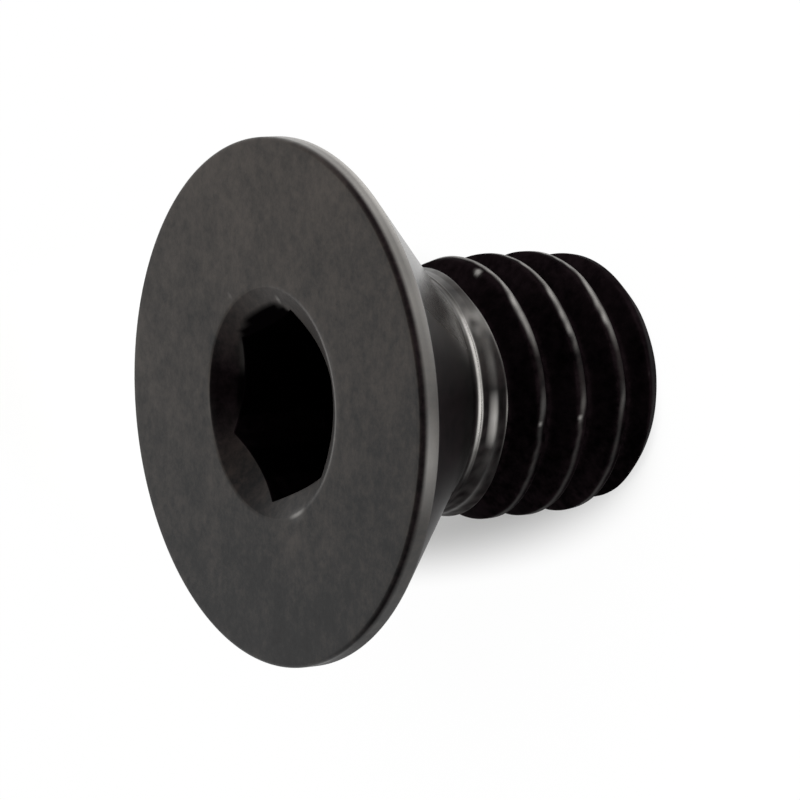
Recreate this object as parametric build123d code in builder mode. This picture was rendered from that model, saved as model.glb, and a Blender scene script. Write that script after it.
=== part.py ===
"""Countersunk lug bolt: flat head with a hex socket, plain neck and a coarse right-hand thread.

One solid in millimetres, +Z up. The bolt stands on the flat of its thread end with the head
uppermost, and its origin is the centre of that flat. A corner of the hex socket points along +X.
"""

import os
from math import atan2, ceil, cos, degrees, radians, tan

from build123d import *

# Length over everything, from the end flat to the head face
LENGTH = 11.25

# Head
HEAD_DIA = 15.0
HEAD_ANGLE = 90.0  # included angle of the seat cone
HEAD_LAND = 0.57  # height of the rim, from the face to the cone
HEAD_EDGE = 0.14  # radius of the edge between the face and the rim

# Thread: 5/16 inch with 18 turns to the inch, one start, right hand
THREAD_BASIC_DIA = 7.9375
THREAD_PITCH = 25.4 / 18
FLANK_ANGLE = 30.0  # each flank from a plane square to the axis
CREST_ALLOWANCE = 0.24  # crest diameter under the basic one, within its tolerance
START_ANGLE = 9.5  # where the middle of the groove crosses the end flat, from +X

# Neck: the rolling blank, left plain under the head
NECK_LENGTH = 0.59  # from the corner of the seat cone to where the crests begin
NECK_FILLET = 0.6  # in that corner
RUN_OUT = 1.3  # length over which the crests rise to their full height
FADE_TURNS = 0.5  # last part of the groove, over which it comes out of the neck

# Thread end: the crests taper down a lead, and the end flat has a chamfer
LEAD_DEPTH = 0.24  # how far the lead would bring the crests in at the end flat
LEAD_ANGLE = 8.0  # from the axis
END_DEPTH = 0.65  # how far the chamfer cuts in below the full crests
END_ANGLE = 42.0  # from the axis

# Hex socket: drilled, countersunk and broached for a 3/16 inch key
KEY_AF = 4.7625
KEY_CLEARANCE = 0.07  # across flats
SOCKET_DEPTH = 3.4  # from the head face to the end of the flats
MOUTH_MARGIN = 0.5  # from the corners of the hex to the edge of the mouth
MOUTH_ANGLE = 120.0
DRILL_UNDER = 0.12  # drilled diameter under the size across flats
DRILL_POINT_ANGLE = 118.0

# Thread form. The sharp form is SHARP_HEIGHT high. Its pitch radius, where metal and groove are
# each half a pitch wide, is also the radius of the blank.
SHARP_HEIGHT = THREAD_PITCH / 2 / tan(radians(FLANK_ANGLE))
CREST_RADIUS = (THREAD_BASIC_DIA - CREST_ALLOWANCE) / 2
PITCH_RADIUS = THREAD_BASIC_DIA / 2 - SHARP_HEIGHT * 3 / 8
ROOT_RADIUS = PITCH_RADIUS - SHARP_HEIGHT / 3
NECK_RADIUS = PITCH_RADIUS

# Outline of the turned blank, from the head down
HEAD_RADIUS = HEAD_DIA / 2
CONE_TOP = LENGTH - HEAD_LAND
CONE_BOTTOM = CONE_TOP - (HEAD_RADIUS - NECK_RADIUS) / tan(radians(HEAD_ANGLE / 2))
NECK_BOTTOM = CONE_BOTTOM - NECK_LENGTH
THREAD_TOP = NECK_BOTTOM - RUN_OUT
LEAD_SLOPE = tan(radians(LEAD_ANGLE))
LEAD_TOP = LEAD_DEPTH / LEAD_SLOPE
CHAMFER_TOP = (END_DEPTH - LEAD_DEPTH) / (tan(radians(END_ANGLE)) - LEAD_SLOPE)

# The groove is cut a turn at a time, down past the end flat so that it runs off the end whole.
# Above GROOVE_TOP it follows a cone instead of a cylinder, out past the neck, and this fade is
# centred on the height where the crests begin.
CUTTER_PROUD = 0.15
FADE_HEIGHT = FADE_TURNS * THREAD_PITCH
FADE_RISE = NECK_RADIUS - ROOT_RADIUS + CUTTER_PROUD
FADE_ANGLE = degrees(atan2(FADE_RISE, FADE_HEIGHT))
GROOVE_TOP = NECK_BOTTOM - FADE_HEIGHT / 2
GROOVE_TOP_ANGLE = START_ANGLE + 360 * GROOVE_TOP / THREAD_PITCH
GROOVE_TURNS = ceil(GROOVE_TOP / THREAD_PITCH) + 1

# Socket
SOCKET_AF = KEY_AF + KEY_CLEARANCE
SOCKET_FLOOR = LENGTH - SOCKET_DEPTH
MOUTH_RADIUS = SOCKET_AF / 2 / cos(radians(30)) + MOUTH_MARGIN
MOUTH_HEIGHT = MOUTH_RADIUS / tan(radians(MOUTH_ANGLE / 2))
DRILL_RADIUS = (SOCKET_AF - DRILL_UNDER) / 2
DRILL_POINT_HEIGHT = DRILL_RADIUS / tan(radians(DRILL_POINT_ANGLE / 2))


def groove_half_width(radius):
    """Half the groove's width at a radius: a quarter pitch at the pitch radius."""
    return THREAD_PITCH / 4 + (radius - PITCH_RADIUS) * tan(radians(FLANK_ANGLE))


def groove_cutter(height, cone_angle):
    """Sweep the groove's section up a helix at the root that starts over +X at height 0."""
    outer = CREST_RADIUS + CUTTER_PROUD
    root_width = groove_half_width(ROOT_RADIUS)
    outer_width = groove_half_width(outer)
    with BuildPart() as cutter:
        with BuildLine():
            Helix(THREAD_PITCH, height, ROOT_RADIUS, cone_angle=cone_angle)
        with BuildSketch(Plane.XZ):
            with BuildLine():
                Polyline(
                    (ROOT_RADIUS, -root_width),
                    (outer, -outer_width),
                    (outer, outer_width),
                    (ROOT_RADIUS, root_width),
                    close=True,
                )
            make_face()
        sweep(is_frenet=True)
    return cutter.part


groove_turn = groove_cutter(THREAD_PITCH, 0)
groove_fade = groove_cutter(FADE_HEIGHT, FADE_ANGLE)

with BuildPart() as lug_bolt:
    # Blank: end chamfer, lead, thread, run-out, neck, seat cone and rim in one turned outline
    corners = [
        ((0, 0), 0),
        ((CREST_RADIUS - END_DEPTH, 0), 0),
        ((CREST_RADIUS - LEAD_DEPTH + CHAMFER_TOP * LEAD_SLOPE, CHAMFER_TOP), 0),
        ((CREST_RADIUS, LEAD_TOP), 0),
        ((CREST_RADIUS, THREAD_TOP), 0),
        ((NECK_RADIUS, NECK_BOTTOM), 0),
        ((NECK_RADIUS, CONE_BOTTOM), NECK_FILLET),
        ((HEAD_RADIUS, CONE_TOP), 0),
        ((HEAD_RADIUS, LENGTH), HEAD_EDGE),
        ((0, LENGTH), 0),
    ]
    with BuildSketch(Plane.XZ):
        with BuildLine():
            FilletPolyline(
                *[point for point, radius in corners],
                radius=[radius for point, radius in corners],
                close=True,
            )
        make_face()
    revolve(axis=Axis.Z)

    # Thread groove
    for turn in range(1, GROOVE_TURNS + 1):
        with Locations((0, 0, GROOVE_TOP - turn * THREAD_PITCH)):
            add(groove_turn, rotation=(0, 0, GROOVE_TOP_ANGLE), mode=Mode.SUBTRACT)
    with Locations((0, 0, GROOVE_TOP)):
        add(groove_fade, rotation=(0, 0, GROOVE_TOP_ANGLE), mode=Mode.SUBTRACT)

    # Flats of the socket
    with BuildSketch(Plane.XY.offset(LENGTH)):
        RegularPolygon(SOCKET_AF / 2, 6, major_radius=False)
    extrude(amount=-SOCKET_DEPTH, mode=Mode.SUBTRACT)

    # Countersunk mouth and drill point, the two cones at its ends
    with BuildSketch(Plane.XZ):
        for top, radius, height in (
            (LENGTH, MOUTH_RADIUS, MOUTH_HEIGHT),
            (SOCKET_FLOOR, DRILL_RADIUS, DRILL_POINT_HEIGHT),
        ):
            with BuildLine():
                Polyline((0, top - height), (radius, top), (0, top), close=True)
            make_face()
    revolve(axis=Axis.Z, mode=Mode.SUBTRACT)

lug_bolt.part.label = "lug_bolt"
os.makedirs("parts", exist_ok=True)
export_step(lug_bolt.part, "parts/lug_bolt.step")
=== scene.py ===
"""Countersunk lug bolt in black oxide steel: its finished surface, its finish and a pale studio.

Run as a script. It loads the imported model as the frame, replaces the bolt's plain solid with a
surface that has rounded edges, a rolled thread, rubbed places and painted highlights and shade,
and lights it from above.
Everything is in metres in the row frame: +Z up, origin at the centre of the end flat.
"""

from math import cos, pi, radians, sin, tan
from types import SimpleNamespace

import bpy
import numpy as np
from mathutils import Matrix, Vector


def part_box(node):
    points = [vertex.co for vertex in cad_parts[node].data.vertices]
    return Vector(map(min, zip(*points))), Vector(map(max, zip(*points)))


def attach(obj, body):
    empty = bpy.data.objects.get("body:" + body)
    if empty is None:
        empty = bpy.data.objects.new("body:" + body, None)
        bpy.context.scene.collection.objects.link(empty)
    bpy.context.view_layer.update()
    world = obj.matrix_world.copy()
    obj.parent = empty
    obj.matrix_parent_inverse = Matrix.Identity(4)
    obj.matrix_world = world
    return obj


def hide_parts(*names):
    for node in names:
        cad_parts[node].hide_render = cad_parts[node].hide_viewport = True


bl_info = {
    "name": "Lug bolt",
    "version": (1, 0, 0),
    "blender": (4, 5, 0),
    "location": "3D Viewport > Sidebar > Bolt",
    "description": "Makes a countersunk lug bolt with its rolled thread, and a studio for it",
    "category": "Add Mesh",
}

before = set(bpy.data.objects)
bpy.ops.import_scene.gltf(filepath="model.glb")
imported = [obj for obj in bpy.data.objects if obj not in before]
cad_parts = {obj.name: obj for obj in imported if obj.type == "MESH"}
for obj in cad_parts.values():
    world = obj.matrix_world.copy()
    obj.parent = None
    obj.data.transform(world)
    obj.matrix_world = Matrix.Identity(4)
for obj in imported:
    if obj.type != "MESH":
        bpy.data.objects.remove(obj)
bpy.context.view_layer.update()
BOLT_LOW, BOLT_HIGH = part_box("lug_bolt")
HEAD_RADIUS = min(-BOLT_LOW.x, BOLT_HIGH.x, -BOLT_LOW.y, BOLT_HIGH.y)

MM = 0.001
TURN = 2 * pi
FRONT = radians(-73.1)  # the side of the bolt that the viewer looks at, from +X

# Heights of small forms on the neck
BEAD_HEIGHT = 6.48 * MM  # the bead where the neck meets the seat cone
START_HEIGHT = 6.03 * MM  # the crest that starts beside the last groove
BAND_HEIGHT = 5.86 * MM  # the band under it, where the neck's painted shade is lighter

# The surface's grid
COLUMNS = 240  # four to each 6 degrees round the axis, so the six socket corners fall on columns
HEAD_ROWS = (8, 2, 14, 5, 22, 3, 26, 1)  # on each side of the socket's and the head's profile
ROUND_ROWS = 7  # on each of its rounded corners
SHANK_ROWS = 261
END_ROWS = 8
FLOOR_COLUMNS = 96


# ---------------------------------------------------------------- settings


def linear(hex_code):
    """The linear red, green and blue of an sRGB hex code such as "#2b2a28"."""
    values = [int(hex_code[i : i + 2], 16) / 255 for i in (1, 3, 5)]
    return [v / 12.92 if v <= 0.04045 else ((v + 0.055) / 1.055) ** 2.4 for v in values]


def length_property(name, description, millimetres, least=0.0):
    """A length setting whose default is given in millimetres."""
    return bpy.props.FloatProperty(
        name=name,
        description=description,
        default=millimetres * MM,
        min=least,
        precision=5,
        unit="LENGTH",
    )


def angle_property(name, description, degrees):
    """An angle setting whose default is given in degrees."""
    return bpy.props.FloatProperty(
        name=name, description=description, default=radians(degrees), subtype="ANGLE"
    )


def colour_property(name, description, hex_code):
    """A colour setting whose default is an sRGB hex code, kept as linear values."""
    return bpy.props.FloatVectorProperty(
        name=name, description=description, default=linear(hex_code), min=0, max=1, subtype="COLOR"
    )


def power_property(name, description, watts):
    """The power of a lamp."""
    return bpy.props.FloatProperty(
        name=name, description=description, default=watts, min=0, unit="POWER"
    )


class BoltSizes(bpy.types.PropertyGroup):
    """Sizes of the bolt, from the head down."""

    length: length_property("Length", "From the end flat to the head face", BOLT_HIGH.z / MM)
    head_radius: length_property("Head radius", "Radius of the rim", HEAD_RADIUS / MM)
    head_land: length_property("Rim land", "Height of the straight rim under the face", 0.57)
    head_edge: length_property("Face edge", "Rounding between the face and the rim", 0.12)
    socket_flats: length_property("Across flats", "Width of the hex socket", 4.8325)
    socket_offset: length_property("Socket offset", "How far the broach ran off centre", 0.16)
    socket_depth: length_property("Socket depth", "From the face to the end of the flats", 3.4)
    mouth_radius: length_property("Mouth radius", "Outer radius of the socket's countersink", 3.29)
    drill_radius: length_property("Drill radius", "Radius of the hole under the flats", 2.356)
    drill_height: length_property("Drill point", "Depth of the drill's cone", 1.416)
    neck_radius: length_property("Neck radius", "Radius of the plain part under the head", 3.5105)
    neck_bottom: length_property("Neck bottom", "Height where the crests begin", 6.1005)
    fillet: length_property("Neck fillet", "Radius between the neck and the seat cone", 0.6)
    crest_radius: length_property("Crest radius", "Outer radius of the thread", 3.84875)
    root_radius: length_property("Root radius", "Radius at the bottom of the groove", 3.1031)
    pitch: length_property("Pitch", "Height of one turn", 25.4 / 18, least=1e-4)
    thread_top: length_property("Thread top", "Height where the crests are full", 4.8005)
    groove_top: length_property("Groove top", "Height where the groove starts to fade", 5.7477)
    fade_height: length_property("Fade", "Height over which the groove comes out", 0.7056)
    fade_rise: length_property("Fade rise", "How far the groove's floor rises in the fade", 0.5574)
    end_depth: length_property("End chamfer", "How far the chamfer cuts in at the end", 0.65)
    start_angle: angle_property(
        "Start angle", "Where the middle of the groove crosses the end flat, from +X", 9.5
    )
    chamfer_angle: angle_property("Chamfer angle", "Slope of the end chamfer, from the axis", 42)
    lead_depth: length_property("Lead", "How far the lead brings the crests in at the end", 0.24)
    lead_angle: angle_property(
        "Lead angle", "Slope of the lead on the lower crests, from the axis", 8
    )
    bead_height: length_property("Bead", "Height of the bead where the neck meets the cone", 0.03)
    crest_round: length_property("Crest rounding", "Softness of the crests' corners", 0.045)
    root_round: length_property("Root rounding", "Softness of the groove's bottom", 0.12)
    edge_round: length_property("Worn edges", "Rounding of the other outer edges", 0.05)


class BoltFinish(bpy.types.PropertyGroup):
    """Colours of black oxide, of soot that also paints shade, and of rubbed steel that also paints
    highlights.
    """

    oxide: colour_property("Oxide", "Black oxide, the main colour", "#090808")
    # The thin oxide colour also paints one side of the bolt lighter and browner
    oxide_light: colour_property("Thin oxide", "Black oxide where the film is thin", "#2a241f")
    # The soot colours also paint the shade in the grooves, the socket and on the front of the cone,
    # neck and rim
    soot_shade: colour_property("Soot", "What the bath leaves in the grooves and the socket", "#060405")
    soot_light: colour_property("Thin soot", "The same where there is less of it", "#221a1d")
    # Bare steel also paints highlights on the rim, the cone, the neck, the crests and the socket's
    # mouth
    steel: colour_property("Bare steel", "Steel where the oxide has rubbed off", "#d2cfcb")


class StudioSettings(bpy.types.PropertyGroup):
    """The pale studio round the bolt."""

    paper: colour_property("Paper", "The floor under the bolt", "#f4f4f3")
    backdrop: colour_property("Backdrop", "What shows beyond the floor", "#ffffff")
    shadow: bpy.props.FloatProperty(
        name="Shadow",
        description="How much of the floor's own shading shows behind the bolt",
        default=1.0,
        min=0,
        max=1,
        subtype="FACTOR",
    )
    key_watts: power_property("Key light", "Power of the large lamp overhead", 0.16)
    fill_watts: power_property("Fill light", "Power of the lamp near the viewer", 0.02)


# ---------------------------------------------------------------- shape


def soft_least(a, b, softness):
    """The lesser of two surfaces, with the corner between them rounded.

    Half of the sum less the root of the squared difference and the squared softness.
    """
    return (a + b - np.sqrt((a - b) ** 2 + softness**2)) / 2


def bump(distance, half_width):
    """A smooth hill, 1 in the middle and 0 past its half width: a squared cosine."""
    inside = np.clip(np.abs(distance) / half_width, 0, 1)
    return np.cos(inside * pi / 2) ** 2


def arc_from(angle, centre):
    """Signed angle from a direction, in radians between minus and plus half a turn."""
    return (angle - centre + pi) % TURN - pi


def ripple(angle, height, rng, waves, span):
    """Smooth seeded unevenness between about -1 and 1.

    A sum of sines of whole turns round the axis and of the height over the span, so that it
    closes on itself round the bolt.
    """
    total = np.zeros(np.broadcast(angle, height).shape)
    for _ in range(waves):
        turns = rng.integers(1, 14)
        rise = rng.uniform(-3, 3)
        total += np.sin(turns * angle + rise * TURN * height / span + rng.uniform(0, TURN))
    return total / waves**0.5


def groove_radius(angle, height, s):
    """Radius of the thread's groove, as a surface over angle and height.

    Each turn's middle climbs one pitch a turn from the start angle. From it the surface is the
    root radius, then rises along flanks at 30 degrees, with a rounded corner where the two meet.
    Above the groove's top the floor rises in line until it is outside the neck. Where the metal
    was pushed up, in front and more on the side past it, the last groove's upper flank is lower.
    """
    flank = tan(radians(30))
    half_root = s.pitch / 4 - (s.neck_radius - s.root_radius) * flank
    climb = s.pitch * arc_from(angle, s.start_angle + pi) / TURN
    last = last_groove(angle, s)
    front = FRONT - angle
    pushed_up = bump(arc_from(front, radians(-5)), radians(45))
    pushed_up = pushed_up + 1.7 * bump(arc_from(front, radians(-92)), radians(45))
    least = np.full(np.broadcast(angle, height).shape, 1.0)  # metres, past everything
    for turn in range(-2, 7):  # from below the end flat to above the neck
        middle = climb + turn * s.pitch + s.pitch / 2
        share = (middle - s.groove_top) / s.fade_height
        rise = s.fade_rise * np.clip(share, 0, 1) + (share > 1)
        pushed = 0.12 * MM * pushed_up * (height > middle) * np.isclose(middle, last)
        out = (np.abs(height - middle) - half_root + pushed) / flank
        floor = (out + np.sqrt(out**2 + s.root_round**2)) / 2
        least = np.minimum(least, s.root_radius + rise + floor)
    return least


def above_crest(angle, height, s):
    """Height above the middle of the nearest crest.

    The grooves' middles climb one pitch a turn from the start angle, and the crests stand half a
    pitch from them.
    """
    turns = (height - s.pitch * arc_from(angle, s.start_angle) / TURN) / s.pitch
    return (turns % 1 - 0.5) * s.pitch


def last_groove(angle, s):
    """Height of the middle of the highest groove at each angle, which ends in the fade."""
    climb = s.pitch * arc_from(angle, s.start_angle) / TURN
    return climb + np.floor((groove_end(s) - climb) / s.pitch) * s.pitch


def groove_end(s):
    """Height where the groove's floor comes out of the neck, a little past half of the fade."""
    return s.groove_top + 0.6 * s.fade_height


def blank_radius(height, s):
    """Radius of the shank before the thread, over height.

    The end chamfer, the lead, the crest cylinder, the run-out cone and the neck: the least of
    the chamfer's line, the lead's line and a line between the run-out's two ends.
    """
    run_out = np.interp(height, [s.thread_top, s.neck_bottom], [s.crest_radius, s.neck_radius])
    lead = s.crest_radius - s.lead_depth + height * tan(s.lead_angle)
    chamfer = s.crest_radius - s.end_depth + height * tan(s.chamfer_angle)
    return soft_least(soft_least(run_out, lead, s.edge_round / 5), chamfer, s.edge_round)


def run_between(start, end, rows):
    """Rows on straight lines from start to end, without the start. Each is (radius, height)."""
    share = np.linspace(0, 1, rows + 1)[1:, None]
    return start[0] + (end[0] - start[0]) * share, start[1] + (end[1] - start[1]) * share


def rounded_run(corners, cuts, rows):
    """Rows down a profile whose corners are rounded.

    corners are (radius, height) pairs of arrays over the columns. At each inner corner the two
    sides are cut back by its cut, and a parabola joins them: one minus t squared times the first
    end, twice t times one minus t times the corner, and t squared times the other end.
    """
    corners = [[value + np.zeros(COLUMNS) for value in corner] for corner in corners]
    t = np.linspace(0, 1, ROUND_ROWS + 1)[1:, None]
    radius, height = [], []
    last = corners[0]
    for before, corner, after, cut, count in zip(corners, corners[1:], corners[2:], cuts, rows):
        ends = []
        for other in (before, after):
            gap = [other[0] - corner[0], other[1] - corner[1]]
            reach = cut / np.hypot(*gap)
            ends.append((corner[0] + gap[0] * reach, corner[1] + gap[1] * reach))
        straight = run_between(last, ends[0], count)
        for k, kept in ((0, radius), (1, height)):
            kept.append(straight[k])
            kept.append((1 - t) ** 2 * ends[0][k] + 2 * t * (1 - t) * corner[k] + t**2 * ends[1][k])
        last = ends[1]
    straight = run_between(last, corners[-1], rows[-1])
    return np.concatenate([*radius, straight[0]]), np.concatenate([*height, straight[1]])


def hex_radius(angle, s):
    """Distance from the bolt's axis to the socket's flats at each angle.

    The broach ran a little off centre. The nearest of six planes, each half the width across
    flats from the socket's own centre, over the cosine of the angle from its middle.
    """
    normals = radians(30) + radians(60) * np.arange(6)[:, None]
    reach = s.socket_flats / 2 + s.socket_offset * np.cos(normals - FRONT + radians(45))
    facing = np.cos(angle - normals)
    return np.where(facing > 0.3, reach / np.maximum(facing, 0.3), 1.0).min(0)


def bolt_surface(s):
    """The whole bolt as rows round the axis, from the bottom of the socket to the end flat.

    Gives radius and height, each rows by columns, and the marks of wear and of painted highlights
    and shade on each point.
    The rows go down one profile at every angle, and the thread is the lesser of the blank and
    the groove.
    """
    rng = np.random.default_rng(7)
    angle = np.arange(COLUMNS) * TURN / COLUMNS
    flat = hex_radius(angle, s)
    floor = s.length - s.socket_depth
    mouth = s.length - (s.mouth_radius - flat) / tan(radians(60))
    cone_top = s.length - s.head_land
    cone_bottom = cone_top - (s.head_radius - s.neck_radius)
    fillet_cut = s.fillet * tan(radians(22.5))

    # Socket, face, rim, seat cone and fillet, down to the neck
    corners = [
        (0 * angle, floor - s.drill_height),
        (s.drill_radius, floor),
        (flat, floor),
        (flat, mouth),
        (s.mouth_radius, s.length),
        (s.head_radius, s.length),
        (s.head_radius, cone_top),
        (s.neck_radius, cone_bottom),
        (s.neck_radius, cone_bottom - fillet_cut),
    ]
    cuts = [0.02 * MM, 0.02 * MM, 0.05 * MM, 0.09 * MM, s.head_edge, s.edge_round, fillet_cut]
    radius, height = rounded_run(corners, cuts, HEAD_ROWS)

    # Neck and thread
    rows = np.linspace(cone_bottom - fillet_cut, 0, SHANK_ROWS + 1)[1:, None]
    blank = blank_radius(rows, s) + neck_relief(angle[None, :], rows, s)
    groove = groove_radius(angle[None, :], rows, s)
    shank = soft_least(blank, groove, s.crest_round)
    depth = np.concatenate([0 * radius - MM, blank - groove])
    shank += 0.006 * MM * ripple(angle, rows, rng, 9, 2 * MM)
    radius = np.concatenate([radius, shank])
    height = np.concatenate([height, rows + 0 * shank])
    marks = wear_and_painted_light(angle, radius, height, depth, s, rng)

    # End flat, in to the centre
    inwards = np.linspace(1, 0, END_ROWS + 1)[1:, None] * shank[-1]
    radius = np.concatenate([radius, inwards])
    height = np.concatenate([height, 0 * inwards])
    on_end = {"rubbed_and_highlight": 0.05, "soot_and_shade": 0.4, "smooth": 0, "deep_shade": 0}
    for name, value in on_end.items():
        marks[name] = np.concatenate([marks[name], 0 * inwards + value])
    return angle, radius, height, marks


def neck_relief(angle, height, s):
    """Small forms that the rolling leaves on the neck, as a height above the blank.

    A bead round the top of the neck, and the start of a crest that never filled, which is
    strongest a little way round from the front and has a shallow valley on its thread side.
    """
    front = FRONT - angle
    bead = s.bead_height * bump(height - BEAD_HEIGHT, 0.13 * MM)
    side = bump(arc_from(front, radians(20)), radians(75))
    crest = 0.05 * MM * bump(height - START_HEIGHT, 0.17 * MM) * side
    valley = 0.03 * MM * bump(height - (START_HEIGHT - 0.2 * MM), 0.1 * MM) * side
    return bead + crest - valley


def round_bolt(front, *knots):
    """A value that changes round the bolt, linear between knots and closed on itself.

    Each knot is a direction in degrees from the front, and the value there.
    """
    ways, values = zip(*knots)
    return np.interp(front, np.radians(ways), values, period=TURN)


def wear_and_painted_light(angle, radius, height, depth, s, rng):
    """How rubbed, sooty, smooth and deep each point is, from 0 to 1, where the rubbed and sooty
    marks also paint highlights and shade.

    Rubbed places show steel, which also paints highlights; sooty ones are black with soot, which
    also paints shade; smooth ones shine more; and the soot of deep ones, a deeper painted shade,
    has no light patches. Most marks are a squared cosine of the distance from their middle, times a
    value that changes round the bolt. depth is how far the groove is cut into the blank, less than
    nothing where it isn't.
    """
    at = SimpleNamespace(radius=radius, height=height)
    at.front = arc_from(FRONT, angle)[None, :] + 0 * height
    at.uneven = ripple(angle, height, rng, 12, 3 * MM)
    at.fine = ripple(4 * angle, height, rng, 16, 1 * MM)
    at.to_crest = above_crest(angle, height, s)
    at.flat = hex_radius(angle, s)
    at.cut = np.clip(depth / (0.1 * MM), 0, 1)
    at.cone_top = s.length - s.head_land
    at.cone_bottom = at.cone_top - (s.head_radius - s.neck_radius)

    # The neck's finish goes on down the crest beside the last fifth of a turn of the groove
    lowest = last_groove(angle, s)
    left = np.clip((groove_end(s) - lowest) / (0.22 * s.pitch), 0, 1)
    beside = (height <= lowest) * (height > lowest - s.pitch) * bump(left, 1)
    shank = height <= at.cone_bottom
    at.neck = shank * ((height > lowest) + beside)
    at.thread = shank * (1 - at.neck)
    at.lip = at.neck * bump(depth, 0.15 * MM)  # the neck's lower edge, beside the last groove

    marks = {name: 0 * height for name in ("rubbed_and_highlight", "soot_and_shade", "smooth", "deep_shade")}
    mark_rim(marks, at, s)
    mark_cone(marks, at, s)
    mark_neck(marks, at)
    mark_crests(marks, at)
    mark_nicks(marks, at)
    mark_socket(marks, at, s)
    return {name: np.clip(values, 0, 1) for name, values in marks.items()}


def mark_rim(marks, at, s):
    """The rim's land and lower corner, rubbed, with painted highlights, a painted dark line under
    the face, and painted shade on the land to one side.
    """
    land = (at.radius > s.head_radius - 0.03 * MM) & (at.height < s.length - s.head_edge * 1.1)
    # Rubbed steel on the land, stronger at some places round the bolt to paint its highlights
    marks["rubbed_and_highlight"] += land * (0.24 + 0.08 * at.uneven) * round_bolt(
        at.front, (-150, 0.3), (-88, 0.9), (-75, 1.1), (-50, 0.8), (-35, 0.65), (-20, 1), (-8, 0.6),
        (3, 0.35), (15, 0.75), (28, 0.12), (55, 0.05), (75, 0), (90, 0), (150, 0.3),
    )
    # A painted highlight on the rim's lower corner
    corner = np.hypot(at.radius - s.head_radius, at.height - at.cone_top)
    marks["rubbed_and_highlight"] += 0.7 * bump(corner, 0.18 * MM) * round_bolt(
        at.front, (-90, 1), (-50, 0.8), (-25, 0.1), (0, 0), (180, 0)
    )
    # Painted shade: a dark line along the edge under the face
    line = np.hypot(at.radius - s.head_radius, at.height - s.length + 0.06 * MM)
    marks["soot_and_shade"] += 0.9 * bump(line, 0.15 * MM) * round_bolt(
        at.front, (-75, 0), (-45, 1), (55, 1), (80, 0)
    )
    # Painted shade on the land, on one side
    marks["soot_and_shade"] += 0.4 * land * round_bolt(
        at.front, (-60, 0), (50, 0), (65, 1), (100, 1), (150, 0)
    )


def mark_cone(marks, at, s):
    """The seat cone: smooth, with painted shade in front, most of all low down, and a painted
    highlight as rubbed steel beside that.
    """
    cone = (at.height < at.cone_top) & (at.height > at.cone_bottom) & (at.radius > s.neck_radius)
    # Painted shade on the front of the cone
    marks["soot_and_shade"] += cone * round_bolt(
        at.front, (-120, 0), (-30, 0), (-18, 0.1), (-8, 0.7), (4, 0.95), (20, 0.9), (35, 0.6),
        (50, 0.3), (75, 0),
    )
    # A painted highlight beside it, as rubbed steel
    marks["rubbed_and_highlight"] += cone * round_bolt(
        at.front, (-64, 0), (-50, 0.12), (-40, 0.15), (-28, 0), (0, 0)
    )
    marks["smooth"] += cone
    # Deeper painted shade low down in front
    low = cone * np.clip((5.6 * MM - at.radius) / (1.4 * MM), 0, 1)
    marks["deep_shade"] += 0.3 * low * round_bolt(at.front, (-30, 0), (-10, 1), (30, 1), (50, 0))


def mark_neck(marks, at):
    """The neck: half smooth, with painted shade in front, and painted highlights as rubbed steel on
    the bead, the start of a crest and the lip.
    """
    # Painted highlights as rubbed steel: a ring on the bead, a spot on the start of the crest and a
    # line on the lip
    bead = at.neck * np.minimum(1.2 * bump(at.height - BEAD_HEIGHT, 0.12 * MM), 1)
    rub_and_highlight = bead * round_bolt(
        at.front, (-120, 0.15), (-65, 0.08), (-48, 0.05), (-38, 0.14), (-30, 0.55), (-20, 0.9),
        (-3, 0.62), (10, 1), (20, 0.75), (32, 0.15), (50, 0), (100, 0.05), (180, 0.15),
    )
    start = at.neck * bump(at.height - START_HEIGHT, 0.2 * MM)
    rub_and_highlight += start * round_bolt(
        at.front, (-30, 0), (-10, 0.08), (2, 0.03), (8, 0.25), (15, 0.48), (22, 0.38), (30, 0.03),
        (50, 0),
    )
    rub_and_highlight += at.lip * round_bolt(
        at.front, (-60, 0), (-20, 0.15), (-5, 0.04), (2, 0.08), (11, 0.35), (20, 0.1), (40, 0),
        (120, 0.05),
    )
    # Rubbed steel over the uncut neck, lighter in places to paint highlights
    marks["rubbed_and_highlight"] += rub_and_highlight + at.neck * (1 - at.cut) * (1 + 0.5 * at.fine) * round_bolt(
        at.front, (-90, 0.06), (-65, 0.04), (-52, 0), (-42, 0.05), (-32, 0.15), (-22, 0.02),
        (-15, 0), (150, 0.05),
    )
    # A band under the start of the crest where the painted shade is lighter
    band = at.neck * bump(at.height - BAND_HEIGHT, 0.14 * MM) * round_bolt(
        at.front, (10, 0), (30, 1), (75, 1), (110, 0)
    )
    # Painted shade on the front of the neck
    shade = at.neck * round_bolt(
        at.front, (-120, 0.1), (-64, 0), (-52, 0.3), (-40, 0.05), (-30, 0), (-12, 0.4), (3, 0.9),
        (60, 1), (80, 0.9), (130, 0.2),
    )
    marks["soot_and_shade"] += shade * (1 - np.clip(5 * rub_and_highlight + 0.6 * band, 0, 1))
    marks["smooth"] += 0.5 * at.neck


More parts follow.
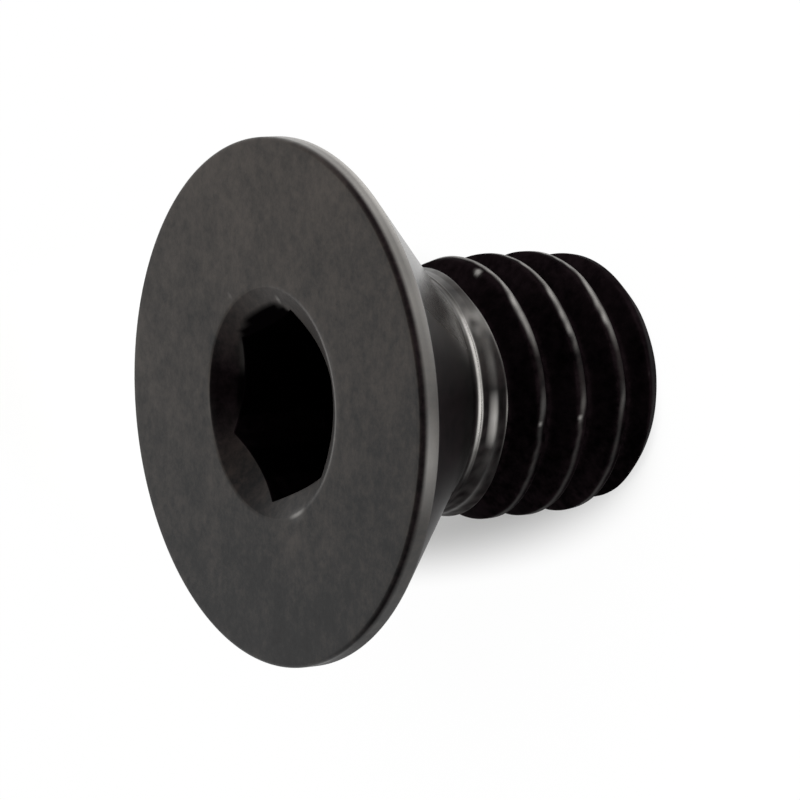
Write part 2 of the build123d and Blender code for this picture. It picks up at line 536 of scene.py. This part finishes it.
def mark_crests(marks, at):
    """A rubbed stripe along each crest, which paints its highlight, and painted shade on the crest
    beside it and in the grooves.

    The stripe lies on the tip side of the crest in front, and crosses to the head side a little
    way round. The last groove is lighter, with less painted shade, and has a painted highlight on
    one side, where it comes out of the neck.
    """
    # Where the crests' stripe, a painted highlight as rubbed steel, lies, how wide it is and how
    # bright round the bolt
    shift = MM * round_bolt(
        at.front, (-150, 0), (-60, -0.08), (-50, -0.08), (-42, -0.05), (-33, 0), (-25, -0.03),
        (-18, -0.06), (-8, -0.06), (2, -0.08), (10, -0.05), (20, 0.05), (50, 0.05), (70, 0),
    )
    width = MM * round_bolt(
        at.front, (-150, 0.12), (-55, 0.12), (-45, 0.15), (-30, 0.18), (-18, 0.17), (5, 0.17),
        (20, 0.12),
    )
    stripe = bump(at.to_crest - shift - 0.012 * MM * at.fine, width) * (at.height > 1.0 * MM)
    rub_and_highlight = (1 + 0.2 * at.uneven + 0.25 * at.fine) * round_bolt(
        at.front, (-150, 0.12), (-90, 0.2), (-30, 0.26), (-18, 0.1), (-10, 0), (2, 0), (10, 0.05),
        (20, 0.01), (80, 0.01), (150, 0.12),
    )
    opened = round_bolt(
        at.front, (-150, 0.9), (-20, 0.9), (-10, 0.4), (2, 0.4), (10, 0.8), (20, 0.5), (60, 0.3),
        (80, 0.3), (150, 0.9),
    )
    marks["rubbed_and_highlight"] += at.thread * stripe * rub_and_highlight
    # Painted shade on the thread, except on the stripe
    shade_and_soot = np.maximum(marks["soot_and_shade"], at.thread * (1 - opened * stripe))
    # Painted shade in the grooves, less at the lip and where the last groove fades out
    groove = 0.92 * at.cut * round_bolt(
        at.front, (-140, 1), (-100, 0.85), (-55, 0.85), (-30, 1), (140, 1)
    )
    fading = (at.height > 5.6 * MM) * round_bolt(
        at.front, (-110, 0), (-85, 0.8), (-65, 0.6), (-45, 0)
    )
    marks["soot_and_shade"] = np.maximum(shade_and_soot, groove * (1 - at.lip) * (1 - fading))
    # A painted highlight where the last groove rises out of the neck
    rising = at.cut * np.clip((at.height - 5.45 * MM) / (0.35 * MM), 0, 1)
    marks["rubbed_and_highlight"] += rising * round_bolt(
        at.front, (-115, 0), (-90, 0.4), (-80, 0.3), (-70, 0.2), (-60, 0.1), (-50, 0.03), (-40, 0),
        (0, 0),
    )


def mark_nicks(marks, at):
    """A burr and a few nicks: degrees round from the front, radius, height, size and strength."""
    for way, out, up, size, strength in (
        (-60.5, 3.75, 5.07, 0.19, 0.4),
        (0.6, 3.75, 0.64, 0.1, 0.3),
        (18.3, 3.85, 4.6, 0.09, 0.2),
        (17.2, 3.85, 3.21, 0.11, 0.25),
        (-80, 2.95, 11.05, 0.14, 0.15),
        (-118, 3.62, 11.25, 0.1, 0.12),
    ):
        across = arc_from(at.front, radians(way)) * out
        spot = bump(np.hypot(across, np.hypot(at.height / MM - up, at.radius / MM - out)), size)
        marks["rubbed_and_highlight"] += strength * spot
        marks["soot_and_shade"] -= spot


def mark_socket(marks, at, s):
    """Painted shade on the socket walls and in the mouth on its far side, and painted highlights on
    the mouth's two edges.
    """
    inside = (at.height > s.thread_top) & (at.height < s.length - 0.02 * MM)
    wall = inside & (at.radius < at.flat + 0.02 * MM)
    mouth = inside & (at.radius < s.mouth_radius) & ~wall
    # How far out the deep painted shade reaches round the socket
    reach = MM * round_bolt(
        at.front, (-152, 2.45), (-140, 2.64), (-129, 2.77), (-108, 2.82), (-80, 2.78), (-70, 2.6),
        (-60, 2.4), (0, 2.4),
    )
    deep_shade = (wall | mouth) * np.clip(0.5 + (reach - at.radius) / (0.13 * MM), 0, 1)
    # Painted shade in the mouth, strongest on its far side
    soot_shade = round_bolt(
        at.front, (90, 0.1), (120, 0.35), (145, 0.3), (160, 0.5), (172, 0.8), (188, 1),
        (-160, 0.95), (-145, 0.55), (-110, 0.25), (0, 0),
    )
    # Painted shade: the socket walls black, and the mouth where the shade reaches
    shade_and_soot = np.maximum(marks["soot_and_shade"], wall + mouth * np.maximum(soot_shade, deep_shade))
    marks["deep_shade"] += deep_shade
    # A painted highlight on the mouth's outer edge
    outer = bump(np.hypot(at.radius - s.mouth_radius, at.height - s.length), 0.12 * MM)
    marks["rubbed_and_highlight"] += outer * round_bolt(
        at.front, (-60, 0), (-20, 0.1), (20, 0.1), (50, 0.02), (66, 0), (72, 0.22), (76, 0.22),
        (82, 0), (150, 0), (180, 0.06), (-150, 0),
    )
    # A painted highlight along the flats' edge in the mouth, which lifts the painted shade there
    inner = mouth * bump(at.radius - at.flat - 0.08 * MM, 0.08 * MM)
    edge_highlight = inner * round_bolt(at.front, (-160, 0), (-150, 1), (-138, 1), (-130, 0), (0, 0))
    marks["rubbed_and_highlight"] += 0.05 * edge_highlight
    marks["soot_and_shade"] = shade_and_soot - 0.4 * edge_highlight


def closed_mesh(name, angle, radius, height, marks):
    """A closed mesh from rows round the axis, with one point at each pole.

    A point is the radius times the cosine and sine of its angle, and its height. Each square of
    neighbours is a face, the first and last rows are fans to the poles.
    """
    rows, columns = radius.shape
    last = rows - 1  # the last row is the end flat's pole
    ring = np.stack([radius * np.cos(angle), radius * np.sin(angle), height], -1)[:last]
    top = [[0, 0, height[0, 0] - (height[1, 0] - height[0, 0])]]
    points = np.concatenate([ring.reshape(-1, 3), top, [[0, 0, height[last, 0]]]])
    column = np.arange(columns)
    after = (column + 1) % columns
    row = np.arange(last - 1)[:, None] * columns
    below = row + columns
    squares = np.stack([row + column, below + column, below + after, row + after], -1)
    top_fan = np.stack([column, after, np.full(columns, last * columns)], -1)
    base = (last - 1) * columns
    end_fan = np.stack([base + after, base + column, np.full(columns, last * columns + 1)], -1)
    loops = np.concatenate([squares.ravel(), top_fan.ravel(), end_fan.ravel()])
    sizes = np.concatenate([np.full(squares.size // 4, 4), np.full(2 * columns, 3)])
    mesh = bpy.data.meshes.new(name)
    mesh.vertices.add(len(points))
    mesh.vertices.foreach_set("co", points.astype(np.float32).ravel())
    mesh.loops.add(len(loops))
    mesh.loops.foreach_set("vertex_index", loops.astype(np.int32))
    mesh.polygons.add(len(sizes))
    mesh.polygons.foreach_set("loop_start", (np.cumsum(sizes) - sizes).astype(np.int32))
    mesh.polygons.foreach_set("use_smooth", np.ones(len(sizes), bool))
    mesh.update(calc_edges=True)
    mesh.validate()
    for mark, values in marks.items():
        values = np.concatenate([values[:last].ravel(), [values[0, 0], values[last, 0]]])
        kept = mesh.attributes.new(mark, "FLOAT", "POINT")
        kept.data.foreach_set("value", values.astype(np.float32))
    return mesh


# ---------------------------------------------------------------- finish


def add_node(tree, kind, settings=None, links=None):
    """Adds a node. settings are its properties and constant inputs, links its inputs' sources."""
    node = tree.nodes.new(kind)
    for key, value in (settings or {}).items():
        if isinstance(key, str) and hasattr(node, key) and key not in node.inputs:
            setattr(node, key, value)
        else:
            node.inputs[key].default_value = value
    for key, source in (links or {}).items():
        tree.links.new(source, node.inputs[key])
    return node


def new_material(name):
    """An empty node material and its tree."""
    material = bpy.data.materials.new(name)
    material.use_nodes = True
    material.node_tree.nodes.clear()
    return material, material.node_tree


def black_oxide_steel(finish):
    """Black oxide on alloy steel, from a hot bath after forging and thread rolling.

    The eye sees a nearly black, satin film with a fine grain and pale clouds, lighter and browner
    towards one side as painted light, grey steel where the film has rubbed through, which also
    paints highlights, and dull soot where the bath's salts stay, which also paints shade.
    """
    material, tree = new_material("black_oxide_steel")
    place = add_node(tree, "ShaderNodeTexCoord").outputs["Object"]
    # The marks: rubbed steel that also paints highlights, soot that also paints shade, smooth
    # places, and deep painted shade
    rubbed_and_highlight, soot_and_shade, smooth, deep_shade = (
        add_node(tree, "ShaderNodeAttribute", {"attribute_name": mark}).outputs["Fac"]
        for mark in ("rubbed_and_highlight", "soot_and_shade", "smooth", "deep_shade")
    )

    # Clouds in the film, 2 mm across, and the grain of the bath's crystals, 0.3 mm where the real
    # one is a tenth of that, so that it shows
    clouds, grain = (
        add_node(
            tree,
            "ShaderNodeTexNoise",
            {"Scale": 1 / (size * MM), "Detail": 4.0, "Roughness": roughness},
            {"Vector": place},
        ).outputs["Fac"]
        for size, roughness in ((2, 0.6), (0.3, 0.75))
    )
    mottle = add_node(
        tree, "ShaderNodeMix", {"data_type": "FLOAT", "Factor": 0.6}, {2: clouds, 3: grain}
    ).outputs[0]
    mottle = add_node(
        tree,
        "ShaderNodeMapRange",
        {"From Min": 0.3, "From Max": 0.7, "To Min": -0.6, "To Max": 0.6},
        {"Value": mottle},
    ).outputs[0]

    # Painted light: the film is lighter and browner towards one side of the bolt
    slope = add_node(
        tree,
        "ShaderNodeVectorMath",
        {"operation": "DOT_PRODUCT", 1: (-sin(FRONT), cos(FRONT), 0)},
        {0: place},
    ).outputs["Value"]
    slope = add_node(
        tree,
        "ShaderNodeMapRange",
        {"From Min": -7 * MM, "From Max": 7 * MM, "To Min": 0.0, "To Max": 0.75},
        {"Value": slope},
    ).outputs[0]
    thin_and_lit = add_node(
        tree, "ShaderNodeMath", {"operation": "ADD", "use_clamp": True}, {0: mottle, 1: slope}
    ).outputs[0]
    # The soot's colour share, at its darkest where the painted shade is deep
    thin_lit_soot = add_node(
        tree, "ShaderNodeMath", {"operation": "SUBTRACT", "use_clamp": True}, {0: thin_and_lit, 1: deep_shade}
    ).outputs[0]
    film, soot_shade = (
        add_node(
            tree,
            "ShaderNodeMix",
            {"data_type": "RGBA", 6: (*thick, 1), 7: (*light, 1)},
            {0: share},
        ).outputs[2]
        for thick, light, share in (
            (finish.oxide, finish.oxide_light, thin_and_lit),
            (finish.soot_shade, finish.soot_light, thin_lit_soot),
        )
    )
    # Soot colour where painted shade lies, then steel where rubbed or where highlights are painted
    film = add_node(
        tree, "ShaderNodeMix", {"data_type": "RGBA"}, {0: soot_and_shade, 6: film, 7: soot_shade}
    ).outputs[2]
    colour = add_node(
        tree, "ShaderNodeMix", {"data_type": "RGBA", 7: (*finish.steel, 1)}, {0: rubbed_and_highlight, 6: film}
    ).outputs[2]

    # The film is satin, smooth places shine more, soot and painted shade are dull, and rubbed steel
    # and painted highlights shine again
    rough = add_node(
        tree,
        "ShaderNodeMapRange",
        {"From Min": -0.6, "From Max": 0.6, "To Min": 0.5, "To Max": 0.34},
        {"Value": mottle},
    ).outputs[0]
    for mark, roughness in ((smooth, 0.22), (soot_and_shade, 0.6), (rubbed_and_highlight, 0.25)):
        rough = add_node(
            tree, "ShaderNodeMix", {"data_type": "FLOAT", 3: roughness}, {0: mark, 2: rough}
        ).outputs[0]
    metal = add_node(
        tree, "ShaderNodeMath", {"operation": "MAXIMUM"}, {0: rubbed_and_highlight, 1: soot_and_shade}
    ).outputs[0]
    relief = add_node(
        tree, "ShaderNodeBump", {"Strength": 0.25, "Distance": 0.01 * MM}, {"Height": grain}
    ).outputs[0]

    # Soot, which also paints shade, is reckoned as metal of a black colour, which keeps it black at
    # glancing angles, where the grey tint takes half of the gloss away
    surface = add_node(
        tree,
        "ShaderNodeBsdfPrincipled",
        {"IOR": 1.5, "Specular Tint": (0.5, 0.5, 0.5, 1)},
        {"Base Color": colour, "Roughness": rough, "Metallic": metal, "Normal": relief},
    )
    add_node(tree, "ShaderNodeOutputMaterial", {}, {"Surface": surface.outputs[0]})
    return material


def white_paper(studio):
    """Matt white paper, as for product pictures.

    The viewer sees its own shading, which carries the bolt's shadow, in an oval behind the bolt,
    and plain white beyond. Shiny surfaces see it partly plain all over.
    """
    material, tree = new_material("white_paper")
    paper = add_node(tree, "ShaderNodeBsdfDiffuse", {"Color": (*studio.paper, 1)})
    plain = add_node(
        tree, "ShaderNodeEmission", {"Color": (*studio.backdrop, 1), "Strength": 1.0}
    )
    place = add_node(tree, "ShaderNodeTexCoord").outputs["Object"]
    place = add_node(
        tree,
        "ShaderNodeMapping",
        {
            "vector_type": "TEXTURE",
            "Location": (-5.1 * MM, 17.2 * MM, 0),
            "Rotation": (0, 0, FRONT - radians(5.6)),
            "Scale": (22.4 * MM, 6.0 * MM, 1),
        },
        {"Vector": place},
    ).outputs[0]
    out = add_node(tree, "ShaderNodeVectorMath", {"operation": "LENGTH"}, {0: place})
    shading = add_node(
        tree,
        "ShaderNodeMapRange",
        {
            "interpolation_type": "SMOOTHSTEP",
            "From Min": 0.72,
            "From Max": 1.0,
            "To Min": studio.shadow,
            "To Max": 0.02,
        },
        {"Value": out.outputs["Value"]},
    ).outputs[0]
    path = add_node(tree, "ShaderNodeLightPath").outputs
    shading = add_node(
        tree,
        "ShaderNodeMix",
        {"data_type": "FLOAT", 2: 0.3},
        {0: path["Is Camera Ray"], 3: shading},
    ).outputs[0]
    share = add_node(
        tree, "ShaderNodeMath", {"operation": "SUBTRACT", 0: 1.0}, {1: shading}
    ).outputs[0]
    share = add_node(
        tree, "ShaderNodeMath", {"operation": "MULTIPLY"}, {0: share, 1: seen_directly(tree)}
    ).outputs[0]
    mixed = add_node(
        tree, "ShaderNodeMixShader", {}, {0: share, 1: paper.outputs[0], 2: plain.outputs[0]}
    )
    add_node(tree, "ShaderNodeOutputMaterial", {}, {"Surface": mixed.outputs[0]})
    return material


def seen_directly(tree):
    """1 for what the camera, a reflection or a clear surface sees, and 0 for what lights others."""
    path = add_node(tree, "ShaderNodeLightPath").outputs
    seen = path["Is Camera Ray"]
    for ray in ("Is Glossy Ray", "Is Transmission Ray"):
        seen = add_node(
            tree, "ShaderNodeMath", {"operation": "MAXIMUM"}, {0: seen, 1: path[ray]}
        ).outputs[0]
    return seen


# ---------------------------------------------------------------- operators


def put_in_scene(name, mesh):
    """A new object for the mesh, at the origin and unturned."""
    piece = bpy.data.objects.new(name, mesh)
    bpy.context.scene.collection.objects.link(piece)
    return piece


class BOLT_OT_body(bpy.types.Operator):
    """Makes the bolt: head, hex socket, neck and rolled thread in one closed surface"""

    bl_idname = "lug_bolt.make_bolt"
    bl_label = "Bolt"
    bl_options = {"REGISTER", "UNDO"}

    def execute(self, context):
        sizes = context.scene.bolt_sizes
        mesh = closed_mesh("bolt", *bolt_surface(sizes))
        piece = put_in_scene("bolt", mesh)
        mesh.materials.append(black_oxide_steel(context.scene.bolt_finish))
        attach(piece, "root")
        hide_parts("lug_bolt")
        return {"FINISHED"}


class BOLT_OT_studio(bpy.types.Operator):
    """Makes the floor, the lamps, the sky and the camera"""

    bl_idname = "lug_bolt.make_studio"
    bl_label = "Studio"
    bl_options = {"REGISTER", "UNDO"}

    def execute(self, context):
        studio = context.scene.bolt_studio
        low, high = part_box("lug_bolt")
        self.make_floor(studio, low.z)
        self.make_sky(studio)
        self.make_lamps(studio, (low + high) / 2)
        self.make_camera(context, high)
        return {"FINISHED"}

    def make_floor(self, studio, level):
        """A round sheet of paper, as rings of growing radius, under the end flat."""
        angle = np.arange(FLOOR_COLUMNS) * TURN / FLOOR_COLUMNS
        radius = np.array([4, 12, 40, 120, 400, 900])[:, None] * MM
        rings = [radius * np.cos(angle), radius * np.sin(angle), radius * 0 * angle + level]
        points = np.concatenate([np.stack(rings, -1).reshape(-1, 3), [[0, 0, level]]])
        column = np.arange(FLOOR_COLUMNS)
        after = (column + 1) % FLOOR_COLUMNS
        inner = np.arange(len(radius) - 1)[:, None] * FLOOR_COLUMNS
        outer = inner + FLOOR_COLUMNS
        squares = np.stack([inner + column, outer + column, outer + after, inner + after], -1)
        fan = np.stack([column, after, column * 0 + len(points) - 1], -1)
        mesh = bpy.data.meshes.new("floor")
        mesh.from_pydata(points.tolist(), [], squares.reshape(-1, 4).tolist() + fan.tolist())
        mesh.materials.append(white_paper(studio))
        put_in_scene("floor", mesh)

    def make_sky(self, studio):
        """A plain white sky: full white where it is seen, and softer as a light."""
        world = bpy.data.worlds.new("studio_sky")
        world.use_nodes = True
        tree = world.node_tree
        tree.nodes.clear()
        seen = seen_directly(tree)
        way = add_node(tree, "ShaderNodeTexCoord").outputs["Generated"]
        height = add_node(tree, "ShaderNodeSeparateXYZ", {}, {0: way}).outputs["Z"]
        # White from the horizon to 38 degrees, then darker to 58 degrees and above
        tent = add_node(
            tree,
            "ShaderNodeMapRange",
            {
                "interpolation_type": "SMOOTHSTEP",
                "From Min": sin(radians(38)),
                "From Max": sin(radians(58)),
                "To Min": 0.95,
                "To Max": 0.03,
            },
            {"Value": height},
        ).outputs[0]
        path = add_node(tree, "ShaderNodeLightPath").outputs
        lit = add_node(
            tree, "ShaderNodeMix", {"data_type": "FLOAT", 2: 0.6}, {0: seen, 3: tent}
        ).outputs[0]
        strength = add_node(
            tree,
            "ShaderNodeMix",
            {"data_type": "FLOAT", 3: 1.0},
            {0: path["Is Camera Ray"], 2: lit},
        ).outputs[0]
        sky = add_node(
            tree, "ShaderNodeBackground", {"Color": (*studio.backdrop, 1)}, {"Strength": strength}
        )
        add_node(tree, "ShaderNodeOutputWorld", {}, {"Surface": sky.outputs[0]})
        bpy.context.scene.world = world

    def make_lamps(self, studio, centre):
        """A large soft lamp overhead to one side, and a weaker one near the viewer."""
        for name, watts, size, place in (
            ("key", studio.key_watts, 90 * MM, Vector((58, -48, 90)) * MM),
            ("fill", studio.fill_watts, 80 * MM, Vector((30, -120, 60)) * MM),
        ):
            lamp = bpy.data.lights.new(name, "AREA")
            lamp.shape = "DISK"
            lamp.size = size
            lamp.energy = watts
            holder = bpy.data.objects.new(name, lamp)
            holder.location = centre + place
            holder.rotation_euler = (-place).to_track_quat("-Z", "Y").to_euler()
            holder.visible_camera = False
            holder.visible_glossy = False
            bpy.context.scene.collection.objects.link(holder)

    def make_camera(self, context, high):
        """A long lens that looks down on the face, turned so that the axis lies across the view.

        The right, up and back directions are worked out from how far the axis leans away from
        the viewer and how far it is turned in the view.
        """
        lean, turn = radians(55.904), radians(4.658)
        down = np.array([0, 0, -1.0])
        near = np.array([cos(FRONT), sin(FRONT), 0])
        side = np.array([sin(FRONT), -cos(FRONT), 0])
        # Where the axis, the near direction and the side direction point in the camera's own frame
        along = np.array([sin(lean) * cos(turn), sin(lean) * sin(turn), -cos(lean)])
        facing = np.array([0, 0, 1.0]) - along * along[2]
        facing /= np.linalg.norm(facing)
        across = np.cross(along, facing)
        axes = [along[k] * down + facing[k] * near + across[k] * side for k in range(3)]
        face = np.array([0, 0, high.z])
        offset = np.array([-3.650, -0.090, -126.731]) * MM  # of the face's centre, in that frame
        place = face - sum(o * a for o, a in zip(offset, axes))
        camera = bpy.data.objects.new("camera", bpy.data.cameras.new("camera"))
        camera.data.lens = 202.5
        camera.data.sensor_width = 36
        camera.data.clip_start = 0.005
        camera.data.clip_end = 5
        turned = Matrix([list(a) for a in axes]).transposed().to_4x4()
        camera.matrix_world = Matrix.Translation(place) @ turned
        context.scene.collection.objects.link(camera)
        context.scene.camera = camera


class BOLT_PT_panel(bpy.types.Panel):
    """Lists what makes the bolt and its studio, with their settings."""

    bl_idname = "BOLT_PT_panel"
    bl_label = "Lug bolt"
    bl_space_type = "VIEW_3D"
    bl_region_type = "UI"
    bl_category = "Bolt"

    def draw(self, context):
        for operator, group in (
            (BOLT_OT_body.bl_idname, context.scene.bolt_sizes),
            (None, context.scene.bolt_finish),
            (BOLT_OT_studio.bl_idname, context.scene.bolt_studio),
        ):
            if operator:
                self.layout.operator(operator)
            for name in group.__annotations__:
                self.layout.prop(group, name)


CLASSES = (BoltSizes, BoltFinish, StudioSettings, BOLT_OT_body, BOLT_OT_studio, BOLT_PT_panel)


def register():
    """Adds the settings, the operators and the panel."""
    for each in CLASSES:
        bpy.utils.register_class(each)
    bpy.types.Scene.bolt_sizes = bpy.props.PointerProperty(type=BoltSizes)
    bpy.types.Scene.bolt_finish = bpy.props.PointerProperty(type=BoltFinish)
    bpy.types.Scene.bolt_studio = bpy.props.PointerProperty(type=StudioSettings)


def unregister():
    """Takes them away again."""
    del bpy.types.Scene.bolt_studio, bpy.types.Scene.bolt_finish, bpy.types.Scene.bolt_sizes
    for each in reversed(CLASSES):
        bpy.utils.unregister_class(each)


def main():
    """Makes everything."""
    register()
    view = bpy.context.scene.view_settings
    view.view_transform = "Standard"
    bpy.ops.lug_bolt.make_bolt()
    bpy.ops.lug_bolt.make_studio()


if __name__ == "__main__":
    main()
